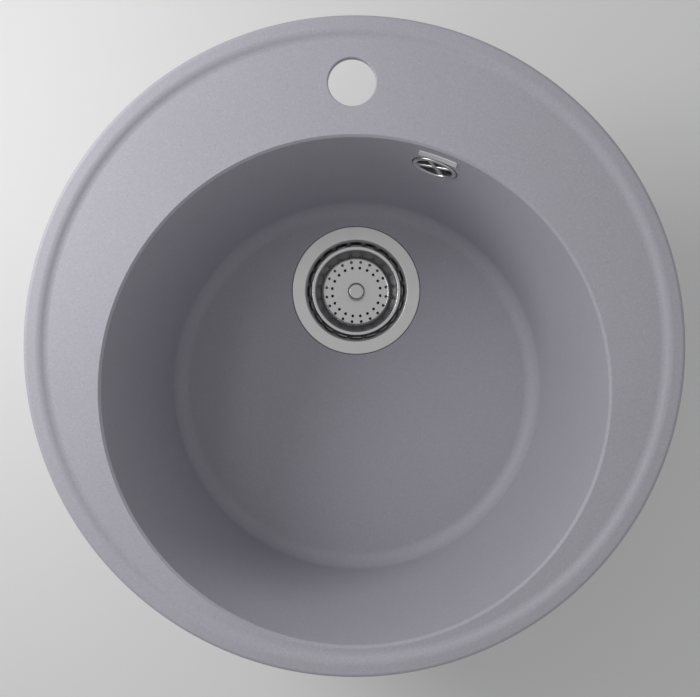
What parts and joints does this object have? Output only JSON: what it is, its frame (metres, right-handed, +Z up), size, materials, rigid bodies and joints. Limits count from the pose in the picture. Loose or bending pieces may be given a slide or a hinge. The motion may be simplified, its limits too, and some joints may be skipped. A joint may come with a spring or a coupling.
{
  "type": "inset kitchen sink",
  "caption": "Round inset kitchen sink cast in quartz composite, with a tap ledge, basket strainer waste, overflow and swivelling fixing clips under the rim.",
  "frame": {"origin": "centre of the rim, on the plane of the rim's underside, which is the worktop's surface", "axes": "+Z up, +Y towards the tap hole at the back, +X to the right"},
  "size_m": [0.491, 0.4798, 0.28],
  "materials": {
    "quartz_composite": "matte, fine grain",
    "stainless": "satin",
    "chrome": "polished",
    "plate_metal": "satin",
    "moulded_plastic": "moulded",
    "nut_plastic": "moulded",
    "pipe_plastic": "moulded",
    "stem_plastic": "moulded",
    "rubber": "matte",
    "brass": "turned",
    "zinc_steel": "zinc plated"
  },
  "bodies": {
    "sink": {"sink_bowl": "quartz_composite", "badge_plate": "plate_metal", "waste_cup": "stainless", "flange_seal": "rubber", "body_gasket": "rubber", "waste_body": "moulded_plastic", "centre_screw": "stainless", "screw_nut": "brass", "overflow_rosette": "chrome", "overflow_gasket": "rubber", "overflow_elbow": "moulded_plastic", "overflow_pipe": "pipe_plastic", "pipe_nut_upper": "nut_plastic", "pipe_nut_lower": "nut_plastic", "pipe_washer_upper": "rubber", "pipe_washer_lower": "rubber", "clip_inserts": "brass"},
    "basket": {"strainer_basket": "stainless", "basket_knob": "stainless", "basket_stem": "stem_plastic", "stem_spacer": "stem_plastic", "basket_seal": "rubber"},
    "clip_screw_back_right": {"clip_screw_back_right": "zinc_steel"},
    "clip_back_right": {"clip_back_right": "zinc_steel"},
    "clip_screw_side_right": {"clip_screw_side_right": "zinc_steel"},
    "clip_side_right": {"clip_side_right": "zinc_steel"},
    "clip_screw_side_left": {"clip_screw_side_left": "zinc_steel"},
    "clip_side_left": {"clip_side_left": "zinc_steel"},
    "clip_screw_back_left": {"clip_screw_back_left": "zinc_steel"},
    "clip_back_left": {"clip_back_left": "zinc_steel"}
  },
  "joints": [
    {"name": "basket_lift", "type": "slide", "parent": "sink", "child": "basket", "axis": [0, 0, 1], "range_m": [0, 0.26]},
    {"name": "screw_travel_back_right", "type": "slide", "parent": "sink", "child": "clip_screw_back_right", "axis": [0, 0, 1], "range_m": [-0.008, 0]},
    {"name": "clip_swivel_back_right", "type": "hinge", "parent": "clip_screw_back_right", "child": "clip_back_right", "pos_m": [0.14322, 0.15906, -0.03], "axis": [0, 0, 1], "range_deg": [-90, 90]},
    {"name": "screw_travel_side_right", "type": "slide", "parent": "sink", "child": "clip_screw_side_right", "axis": [0, 0, 1], "range_m": [-0.008, 0]},
    {"name": "clip_swivel_side_right", "type": "hinge", "parent": "clip_screw_side_right", "child": "clip_side_right", "pos_m": [0.21322, -0.01865, -0.03], "axis": [0, 0, 1], "range_deg": [-90, 90]},
    {"name": "screw_travel_side_left", "type": "slide", "parent": "sink", "child": "clip_screw_side_left", "axis": [0, 0, 1], "range_m": [-0.008, 0]},
    {"name": "clip_swivel_side_left", "type": "hinge", "parent": "clip_screw_side_left", "child": "clip_side_left", "pos_m": [-0.21322, -0.01865, -0.03], "axis": [0, 0, 1], "range_deg": [-90, 90]},
    {"name": "screw_travel_back_left", "type": "slide", "parent": "sink", "child": "clip_screw_back_left", "axis": [0, 0, 1], "range_m": [-0.008, 0]},
    {"name": "clip_swivel_back_left", "type": "hinge", "parent": "clip_screw_back_left", "child": "clip_back_left", "pos_m": [-0.14322, 0.15906, -0.03], "axis": [0, 0, 1], "range_deg": [-90, 90]}
  ]
}
